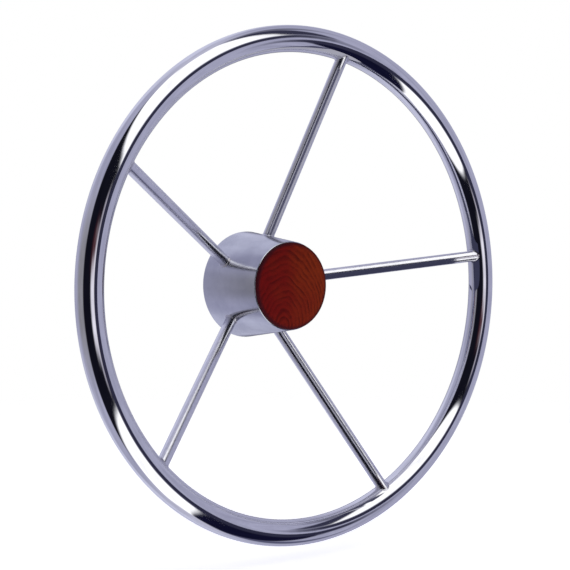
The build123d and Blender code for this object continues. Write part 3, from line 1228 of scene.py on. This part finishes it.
@dataclass
class ShaftNut(SubAssembly):
    """The washer, the hexagon nut and its nylon ring, with sizes in millimetres."""

    washer_back: float = 28.05
    washer_thickness: float = 2.4
    washer_radius: float = 14.0
    washer_hole: float = 6.75
    back: float = 30.5
    height: float = 9.6
    flat_radius: float = 9.525
    edge_drop: float = 1.2
    edge_steps: int = 6
    collar_height: float = 3.1
    collar_radius: float = 8.5
    collar_foot: float = 0.3
    collar_brow: float = 0.5
    lip: float = 0.5
    lip_break: float = 0.1
    lip_radius: float = 6.7
    bore: float = 5.665
    pitch: float = 1.27
    thread_depth: float = 0.6
    thread_fade: float = 0.8
    flank_slope: float = 1.6
    root_flat: float = 0.3
    insert_radius: float = 7.3
    insert_bore: float = 6.15
    insert_steps: int = 96
    around: int = 120
    rows_per_turn: int = 8

    @property
    def top(self) -> float:
        """Where the hexagon ends and the collar starts."""
        return self.back + self.height

    @property
    def front(self) -> float:
        """The collar's front face."""
        return self.top + self.collar_height

    def hexagon(self, ahead: float, angle: float) -> float:
        """The hexagon's radius, cut by the cones that chamfer its corners.

        Args:
            ahead: The distance ahead.
            angle: The angle round the axle.

        Returns:
            The radius.
        """
        corner_radius = self.flat_radius / math.cos(math.pi / 6)
        slope = (corner_radius - self.flat_radius) / (self.edge_drop / 2)
        limit = self.flat_radius + slope * min(ahead - self.back, self.top - ahead)
        sector = math.pi / 3
        return min(self.flat_radius / math.cos((angle + sector / 2) % sector - sector / 2), limit)

    def thread(self, ahead: float, angle: float) -> float:
        """The threaded bore's radius, with ridges that follow the pitch and fade out at both ends.

        Args:
            ahead: The distance ahead.
            angle: The angle round the axle.

        Returns:
            The radius.
        """
        phase = (ahead / self.pitch + angle / (2 * math.pi)) % 1.0
        depth = min(1.0, max(0.0, self.flank_slope * (1 - abs(2 * phase - 1)) - self.root_flat))
        fade = min(self.thread_fade, ahead - self.back, self.top - ahead) / self.thread_fade
        return self.bore + self.thread_depth * depth * max(0.0, fade)

    def ring(self, radius: Callable[[float, float], float] | float, ahead: float) -> list[Vector]:
        """A ring of points.

        Args:
            radius: The radius, or a function that gives it at a distance ahead and an angle.
            ahead: The ring's distance ahead.

        Returns:
            The points, in metres.
        """
        angles = [math.radians(30) + 2 * math.pi * step / self.around for step in range(self.around)]
        radii = [radius(ahead, a) if callable(radius) else radius for a in angles]
        return [Vector((r * math.cos(a), -ahead, r * math.sin(a))) * MM for r, a in zip(radii, angles)]

    def nut_rows(self) -> list[list[Vector]]:
        """The nut's rings: up its flats, over the collar and its lip, and back down the thread.

        Returns:
            The rings, each a row of points in metres.
        """
        chamfer = [self.edge_drop / 2 * step / self.edge_steps for step in range(self.edge_steps + 1)]
        rows = [self.ring(self.hexagon, self.back + depth) for depth in chamfer]
        rows += [self.ring(self.hexagon, self.top - depth) for depth in reversed(chamfer)]
        brow, nick, seat = self.front - self.collar_brow, self.collar_foot / 2, self.front - self.lip
        for ahead, radius in (
            (self.top, self.collar_radius + self.collar_foot),
            (self.top + self.collar_foot, self.collar_radius),
            (brow, self.collar_radius),
            (self.front - nick, self.collar_radius - nick),
            (self.front, self.collar_radius - self.collar_brow),
            (self.front, self.lip_radius + nick),
            (self.front - self.lip_break, self.lip_radius),
            (seat, self.lip_radius),
            (seat, self.insert_radius),
            (self.top, self.insert_radius),
        ):
            rows.append(self.ring(radius, ahead))
        count = int(self.height / self.pitch * self.rows_per_turn)
        depths = [self.height * step / count for step in range(count + 1)]
        return rows + [self.ring(self.thread, self.top - depth) for depth in depths]

    def build(self) -> None:
        """Makes the three pieces."""
        washer_front = self.washer_back + self.washer_thickness
        washer = rounded_outline(
            (
                Corner(self.washer_back, self.washer_hole, 0.3),
                Corner(self.washer_back, self.washer_radius, 0.35),
                Corner(washer_front, self.washer_radius, 0.5),
                Corner(washer_front, self.washer_hole, 0.3),
            )
        )
        self.turn("plain_washer", washer, Body.WASHER, Finish.TURNED, "flat_washer")
        shape = bmesh.new()
        skin(shape, self.nut_rows())
        self.fit(new_piece("lock_nut", mesh_of(shape), 28.0), Body.NUT, Finish.TURNED, "shaft_nut")
        seat = self.front - self.lip
        insert = rounded_outline(
            (
                Corner(self.top, self.insert_bore, 0.4),
                Corner(self.top, self.insert_radius, 0.05),
                Corner(seat, self.insert_radius, 0.05),
                Corner(seat, self.insert_bore, 0.4),
            )
        )
        self.turn("nylon_ring", insert, Body.NUT, Finish.NYLON, "nut_insert", self.insert_steps)


# ---- Studio --------------------------------------------------------------------------------------------------


@dataclass(frozen=True)
class Panel:
    """A soft-edged patch of the tent's walls, in degrees of a fan that opens from the tent's seam.

    Attributes:
        fan: The angles that it lies between, upwards from the horizon on the helmsman's left.
        reach: How far from the seam it starts and ends.
        colour: Its colour and brightness.
        leftmost: The azimuth that it ends at on the helmsman's left.
        fan_soft: The softness of its straight edges.
        near_soft: The softness of the edge that faces the seam.
        far_soft: The softness of the edge that faces away from it.
    """

    fan: Span
    reach: Span
    colour: Colour
    leftmost: float = -180.0
    fan_soft: float = 2.5
    near_soft: float = 5.0
    far_soft: float = 5.0
    leftmost_soft: float = 5.0

    def mask(self, sheet: NodeSheet, fan: Socket, reach: Socket, azimuth: Socket) -> Socket:
        """How much of the panel there is in each direction.

        Args:
            sheet: The world's node sheet.
            fan: The direction's angle in the fan.
            reach: Its distance from the seam.
            azimuth: Its azimuth.

        Returns:
            The mask's socket, from 0 to 1.
        """
        (low, high), (start, end) = self.fan, self.reach
        soft, near, far = self.fan_soft, self.near_soft, self.far_soft
        return sheet.times(
            sheet.band(fan, (low - soft, low + soft), (high + soft, high - soft)),
            sheet.band(reach, (start - near, start + near), (end + far, end - far)),
            sheet.ease(azimuth, self.leftmost - self.leftmost_soft, self.leftmost + self.leftmost_soft),
        )


@dataclass(frozen=True)
class Card:
    """A small card bent round one side of a spoke, which shows only in the spoke's polish.

    Attributes:
        spoke: The spoke's index.
        sides: Where it lies round the spoke, in degrees clockwise from straight ahead.
        colour: Its colour.
        gap: How far it stands from the spoke's axis.
        run: Where it starts and ends along the spoke, from the spoke's tip.
        steps: How many flats its bend has.
    """

    spoke: int
    sides: Span
    colour: Colour
    gap: float = 28.0 * MM
    run: Span = (-150.0 * MM, -7.0 * MM)
    steps: int = 12

    def build(self, wheel: WheelSizes) -> None:
        """Makes the card, with its face towards the spoke and nothing to see from its back.

        Args:
            wheel: The wheel's sizes.
        """
        turn = wheel.spoke_frame(self.spoke)
        along, tip = turn @ wheel.direction(), turn @ wheel.tip()
        ahead = Vector((0.0, -1.0, 0.0))
        ahead = (ahead - along * ahead.dot(along)).normalized()
        clockwise = along.cross(ahead)
        first, last = (math.radians(side) for side in self.sides)
        shape = bmesh.new()
        rows = []
        for step in range(self.steps + 1):
            angle = first + (last - first) * step / self.steps
            arm = (ahead * math.cos(angle) + clockwise * math.sin(angle)) * self.gap
            rows.append([shape.verts.new(tip + along * spot + arm) for spot in self.run])
        for one, two in zip(rows, rows[1:]):
            shape.faces.new((one[0], one[1], two[1], two[0]))
        mesh = bpy.data.meshes.new("card")
        shape.to_mesh(mesh)
        shape.free()
        card = new_piece("card", mesh)
        sheet = SurfaceSheet("card")
        back = sheet.add("ShaderNodeNewGeometry").outputs["Backfacing"]
        sheet.set(
            Base_Color=(0.0, 0.0, 0.0, 1.0),
            Roughness=1.0,
            Specular_IOR_Level=0.0,
            Emission_Color=(*self.colour, 1.0),
            Emission_Strength=1.0,
            Alpha=sheet.math("SUBTRACT", 1.0, back),
        )
        card.data.materials.append(sheet.material)
        card.visible_camera = card.visible_diffuse = card.visible_shadow = card.visible_transmission = False
        card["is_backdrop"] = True


@dataclass(frozen=True)
class Studio:
    """A pale tent with light boxes above and below its dark doorway, a pale floor and the camera.

    Attributes:
        wall: The colour of the tent's walls.
        crown: The colour straight above and below.
        crown_edge: Where the crown starts, in degrees above or below the horizon.
        horizon: The colour of the walls low down on the helmsman's left.
        horizon_sides: The azimuths between which the horizon colour fades in and out.
        horizon_height: Where it fades out upwards and downwards.
        gable: The colour of the wall behind the wheel.
        gable_azimuth: The azimuth of that wall's middle.
        gable_half: How far to each side it fades out.
        gable_height: Where it fades in above the horizon, and out towards the crown.
        flag: The colour of a dark patch on the right.
        flag_centre: The patch's azimuth and elevation.
        flag_edge: Where it fades out, from its centre.
        seam: The azimuth and elevation that the panels' fan opens from.
        panels: The light boxes, the doorway and the patches in front of them.
        panel_end: Where every panel fades out near the zenith.
        fold_size: The size of the cloth's folds round the fan and along it.
        fold_shade: How dark and how bright the folds are.
        cards: The cards beside the spokes.
    """

    wall: Colour = (0.41, 0.412, 0.555)
    crown: Colour = (0.55, 0.55, 0.68)
    crown_edge: Span = (62.0, 84.0)
    horizon: Colour = (0.29, 0.285, 0.315)
    horizon_sides: tuple[Span, Span] = ((-150.0, -112.0), (0.0, -60.0))
    horizon_height: Span = (44.0, 8.0)
    gable: Colour = (0.62, 0.63, 0.79)
    gable_azimuth: float = 172.0
    gable_half: Span = (40.0, 20.0)
    gable_height: tuple[Span, Span] = ((4.0, 20.0), (80.0, 60.0))
    flag: Colour = (0.13, 0.13, 0.17)
    flag_centre: Span = (143.0, -2.0)
    flag_edge: Span = (19.0, 8.0)
    seam: Span = (35.0, -3.0)
    panels: tuple[Panel, ...] = (
        Panel((32, 98), (25, 190), (1.3, 1.3, 1.3), -69),
        Panel((-67, -26), (25, 190), (1.3, 1.3, 1.3), -69),
        Panel((108, 130), (62, 92), (0.16, 0.16, 0.22), fan_soft=5, near_soft=8, far_soft=6),
        Panel((-138, -108), (58, 90), (0.10, 0.10, 0.17), fan_soft=5, near_soft=8, far_soft=6),
        Panel((95, 113), (26, 78), (0.04, 0.04, 0.075), fan_soft=3, near_soft=8),
        Panel((-112, -66), (12, 82), (0.006, 0.006, 0.025), fan_soft=3),
        Panel((-27, 33), (2, 190), (0.006, 0.006, 0.012), -79, 2, 5),
        Panel((-22, 26), (26, 36), (0.42, 0.40, 0.48), fan_soft=4, near_soft=3, far_soft=6),
        Panel((-12, 14), (27, 53), (0.85, 0.83, 0.92), fan_soft=5, near_soft=4, far_soft=7),
        Panel((7, 16), (36, 62), (0.08, 0.022, 0.03), fan_soft=5, near_soft=9, far_soft=12),
        Panel((-128, 112), (-20, 24), (0.03, 0.03, 0.06), fan_soft=14, near_soft=1, far_soft=5),
    )
    panel_end: Span = (84.0, 76.0)
    fold_size: Span = (7.0, 70.0)
    fold_shade: tuple[Colour, Colour] = ((0.86, 0.86, 0.87), (1.1, 1.1, 1.1))
    cards: tuple[Card, ...] = (
        Card(0, (-50, -28), (0.36, 0.36, 0.43)),
        Card(0, (-22, 12), (0.09, 0.09, 0.15)),
        Card(0, (12, 60), (0.42, 0.42, 0.49)),
        Card(1, (-12, 120), (0.045, 0.047, 0.088)),
        Card(2, (-24, -4), (0.08, 0.08, 0.13)),
        Card(2, (8, 28), (0.42, 0.42, 0.49)),
    )
    backdrop: Colour = (1.0, 1.0, 1.0)
    floor_colour: Colour = (0.97, 0.97, 0.972)
    floor_glow: float = 0.6
    floor_gap: float = 12.0 * MM
    floor_radius: float = 1.6
    floor_steps: int = 96
    floor_fade: Span = (0.25, 1.1)
    azimuth: float = -37.26
    elevation: float = 1.74
    distance: float = 1.0205
    aside: float = -16.4 * MM
    above: float = 1.2 * MM
    lens_mm: float = 84.74
    sensor_mm: float = 36.0

    def build(self, wheel: WheelSizes) -> None:
        """Makes the lights, the floor, the cards and the camera.

        Args:
            wheel: The wheel's sizes.
        """
        self.build_world()
        self.build_floor()
        for card in self.cards:
            card.build(wheel)
        self.build_camera(Vector((0.0, -wheel.rim_ahead, 0.0)))

    def walls(self, sheet: NodeSheet) -> Socket:
        """The colour of the tent's walls in each direction.

        Args:
            sheet: The world's node sheet.

        Returns:
            The colour's socket.
        """
        x, y, z = sheet.split(sheet.add("ShaderNodeTexCoord").outputs["Generated"])
        azimuth = sheet.math("DEGREES", sheet.math("ARCTAN2", x, sheet.times(y, -1.0)))
        height = sheet.math("DEGREES", sheet.math("ARCSINE", z))
        level = sheet.math("ABSOLUTE", height)

        colour = sheet.mix(sheet.ease(level, *self.crown_edge), self.wall, self.crown)
        low = sheet.times(sheet.band(azimuth, *self.horizon_sides), sheet.ease(level, *self.horizon_height))
        colour = sheet.mix(low, colour, self.horizon)

        turned = sheet.math("WRAP", sheet.math("SUBTRACT", azimuth, self.gable_azimuth), 180.0, -180.0)
        beside = sheet.ease(sheet.math("ABSOLUTE", turned), *self.gable_half)
        colour = sheet.mix(sheet.times(beside, sheet.band(level, *self.gable_height)), colour, self.gable)

        aside = sheet.math("SUBTRACT", azimuth, self.flag_centre[0])
        over = sheet.math("SUBTRACT", height, self.flag_centre[1])
        colour = sheet.mix(sheet.ease(sheet.length(aside, over), *self.flag_edge), colour, self.flag)

        left = sheet.math("SUBTRACT", self.seam[0], azimuth)
        up = sheet.math("SUBTRACT", height, self.seam[1])
        fan = sheet.math("DEGREES", sheet.math("ARCTAN2", up, left))
        reach = sheet.length(left, up)
        inside = sheet.ease(level, *self.panel_end)
        for panel in self.panels:
            mask = sheet.times(panel.mask(sheet, fan, reach, azimuth), inside)
            colour = sheet.mix(mask, colour, panel.colour)

        across, along = (sheet.math("DIVIDE", way, size) for way, size in zip((fan, reach), self.fold_size))
        folds = sheet.noise(sheet.joined(across, along, 0.0), 1.0, 4.0, 0.6)
        shade = sheet.mix(sheet.ease(folds, 0.3, 0.7), *self.fold_shade)
        return sheet.mix(1.0, colour, shade, "MULTIPLY")

    def build_world(self) -> None:
        """Lights the wheel by the tent's walls and shows the camera a plain backdrop."""
        world = bpy.data.worlds.new("light_tent")
        bpy.context.scene.world = world
        world.use_nodes = True
        sheet = NodeSheet(world.node_tree)
        sheet.tree.nodes.clear()
        light = sheet.add("ShaderNodeBackground", {"Color": self.walls(sheet)})
        seen = sheet.add("ShaderNodeBackground", {"Color": (*self.backdrop, 1.0)})
        direct = sheet.add("ShaderNodeLightPath").outputs["Is Camera Ray"]
        choice = sheet.add("ShaderNodeMixShader", {0: direct, 1: light.outputs[0], 2: seen.outputs[0]})
        sheet.add("ShaderNodeOutputWorld", {"Surface": choice.outputs[0]})

    def build_floor(self) -> None:
        """Lays a pale floor that fades into the backdrop."""
        low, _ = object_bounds()
        shape = bmesh.new()
        bmesh.ops.create_circle(shape, cap_ends=True, segments=self.floor_steps, radius=self.floor_radius)
        bmesh.ops.translate(shape, vec=Vector((0, 0, low[2] - self.floor_gap)), verts=shape.verts)
        floor = new_piece("studio_floor", mesh_of(shape))
        sheet = SurfaceSheet("pale_floor")
        x, y, _ = sheet.split(sheet.place())
        sheet.set(
            Base_Color=(*self.floor_colour, 1.0),
            Roughness=0.9,
            Specular_IOR_Level=0.1,
            Emission_Color=(*self.floor_colour, 1.0),
            Emission_Strength=self.floor_glow,
            Alpha=sheet.math("SUBTRACT", 1.0, sheet.ease(sheet.length(x, y), *self.floor_fade)),
        )
        floor.data.materials.append(sheet.material)
        floor.visible_glossy = False
        floor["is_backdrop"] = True

    def build_camera(self, target: Vector) -> None:
        """Stands the camera at the helmsman's left shoulder.

        Args:
            target: The rim's centre, which the camera's place is measured from.
        """
        turn, rise = math.radians(self.azimuth), math.radians(self.elevation)
        back = Vector((math.sin(turn) * math.cos(rise), -math.cos(turn) * math.cos(rise), math.sin(rise)))
        right = Vector((math.cos(turn), math.sin(turn), 0.0))
        up = back.cross(right)
        place = target + back * self.distance + right * self.aside + up * self.above
        data = bpy.data.cameras.new("camera")
        data.lens, data.sensor_width = self.lens_mm, self.sensor_mm
        camera = linked("camera", data)
        camera.matrix_world = Matrix.Translation(place) @ Matrix((right, up, back)).transposed().to_4x4()
        bpy.context.scene.camera = camera
        bpy.context.scene.view_settings.view_transform = "Standard"


def main() -> None:
    """Builds the wheel's pieces in order, then the studio."""
    logging.basicConfig(level=logging.INFO, format="%(name)s: %(message)s")
    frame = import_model()
    cad_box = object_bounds()
    wheel = WheelSizes.from_frame()
    hub = Hub.from_frame()
    Rim(wheel).build()
    Spokes(wheel).build()
    SpokeWelds(wheel, hub).build()
    hub.build(frame)
    Cap().build()
    ShaftNut().build()
    Studio().build(wheel)
    boxes = {name: [list(corner) for corner in box] for name, box in (("cad", cad_box), ("visual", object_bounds()))}


if __name__ == "__main__":
    main()
